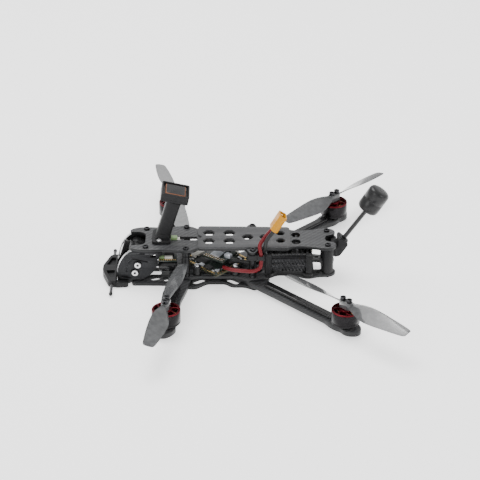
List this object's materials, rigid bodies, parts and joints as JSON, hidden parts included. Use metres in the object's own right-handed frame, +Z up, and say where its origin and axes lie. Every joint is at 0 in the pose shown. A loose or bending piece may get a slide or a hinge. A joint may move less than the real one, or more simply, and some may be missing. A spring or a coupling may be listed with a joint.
{
  "type": "quadcopter drone",
  "caption": "Small carbon-framed quadcopter with guarded tilting nose camera, positioning mast, tail antenna, two-blade propellers and a standing battery lead",
  "frame": {"origin": "on the underside of the bottom plate, midway between the front and the rear motors and on the centre plane", "axes": "+X to the nose, +Y to the left side, +Z up"},
  "size_m": [0.1955, 0.2464, 0.066],
  "materials": {
    "carbon": "woven carbon fibre plate, satin",
    "foam_pad": "die-cut foam sheet, matt",
    "black_metal": "black anodised, satin",
    "red_metal": "dark red and black anodised",
    "flexible_print": "printed flexible plastic, fine layer lines",
    "black_plastic": "moulded, slightly glossy",
    "ceramic": "fired ceramic on a dark board",
    "circuit_board": "black solder mask with gold pads",
    "lens": "coated glass",
    "red_wire": "silicone insulation",
    "black_wire": "silicone insulation",
    "connector": "moulded nylon, semi-gloss",
    "sleeve": "heat-shrink sleeve, glossy",
    "windings": "enamelled copper on a laminated core",
    "propeller": "translucent smoky grey"
  },
  "bodies": {
    "frame": {"bottom_plate": "carbon", "main_plate": "carbon", "top_plate": "carbon", "battery_pad": "foam_pad", "arm_front_left": "carbon", "arm_front_right": "carbon", "arm_rear_left": "carbon", "arm_rear_right": "carbon", "standoff_front_left": "black_metal", "standoff_front_right": "black_metal", "standoff_middle_left": "black_metal", "standoff_middle_right": "black_metal", "standoff_rear_left": "black_metal", "standoff_rear_right": "black_metal", "camera_side_plate_left": "black_metal", "camera_side_plate_right": "black_metal", "front_bumper": "flexible_print", "receiver_antenna": "black_plastic", "gps_mast": "flexible_print", "gps_tray": "flexible_print", "gps_receiver": "ceramic", "rear_antenna_mount": "flexible_print", "rear_antenna_stalk": "black_plastic", "rear_antenna_head": "black_plastic", "video_unit_body": "black_metal", "video_unit_lid": "black_metal", "video_unit_cradle": "flexible_print", "flight_controller": "circuit_board", "speed_controller": "circuit_board", "receiver": "black_plastic", "capacitor": "black_plastic", "power_lead_red": "red_wire", "power_lead_black": "black_wire", "power_connector": "connector", "power_lead_guide": "flexible_print", "motor_wires_front_left": "sleeve", "motor_wires_front_right": "sleeve", "motor_wires_rear_left": "sleeve", "motor_wires_rear_right": "sleeve", "motor_base_front_left": "black_metal", "motor_base_front_right": "black_metal", "motor_base_rear_left": "black_metal", "motor_base_rear_right": "black_metal", "motor_stator_front_left": "windings", "motor_stator_front_right": "windings", "motor_stator_rear_left": "windings", "motor_stator_rear_right": "windings"},
    "camera": {"camera_body": "black_plastic", "camera_lens_barrel": "black_plastic", "camera_lens_glass": "lens"},
    "boot_button": {"boot_button": "black_plastic"},
    "video_link_button": {"video_link_button": "black_plastic"},
    "rotor_front_left": {"motor_bell_front_left": "red_metal", "propeller_front_left": "propeller"},
    "rotor_front_right": {"motor_bell_front_right": "red_metal", "propeller_front_right": "propeller"},
    "rotor_rear_left": {"motor_bell_rear_left": "red_metal", "propeller_rear_left": "propeller"},
    "rotor_rear_right": {"motor_bell_rear_right": "red_metal", "propeller_rear_right": "propeller"}
  },
  "joints": [
    {"name": "camera_tilt", "type": "hinge", "parent": "frame", "child": "camera", "pos_m": [0.077, 0, 0.0153], "axis": [0, -1, 0], "range_deg": [-15, 15]},
    {"name": "motor_front_left", "type": "hinge", "parent": "frame", "child": "rotor_front_left", "pos_m": [0.0566, 0.0728, 0.012], "axis": [0, 0, 1], "continuous": true},
    {"name": "motor_front_right", "type": "hinge", "parent": "frame", "child": "rotor_front_right", "pos_m": [0.0566, -0.0728, 0.012], "axis": [0, 0, 1], "continuous": true},
    {"name": "motor_rear_left", "type": "hinge", "parent": "frame", "child": "rotor_rear_left", "pos_m": [-0.0566, 0.0728, 0.012], "axis": [0, 0, 1], "continuous": true},
    {"name": "motor_rear_right", "type": "hinge", "parent": "frame", "child": "rotor_rear_right", "pos_m": [-0.0566, -0.0728, 0.012], "axis": [0, 0, 1], "continuous": true},
    {"name": "boot_button_press", "type": "slide", "parent": "frame", "child": "boot_button", "axis": [0, 0, -1], "range_m": [0, 0.00025], "stiffness_N_per_m": 200, "springref_m": -0.00005},
    {"name": "video_link_button_press", "type": "slide", "parent": "frame", "child": "video_link_button", "axis": [1, 0, 0], "range_m": [0, 0.0004], "stiffness_N_per_m": 200, "springref_m": -0.00005}
  ]
}
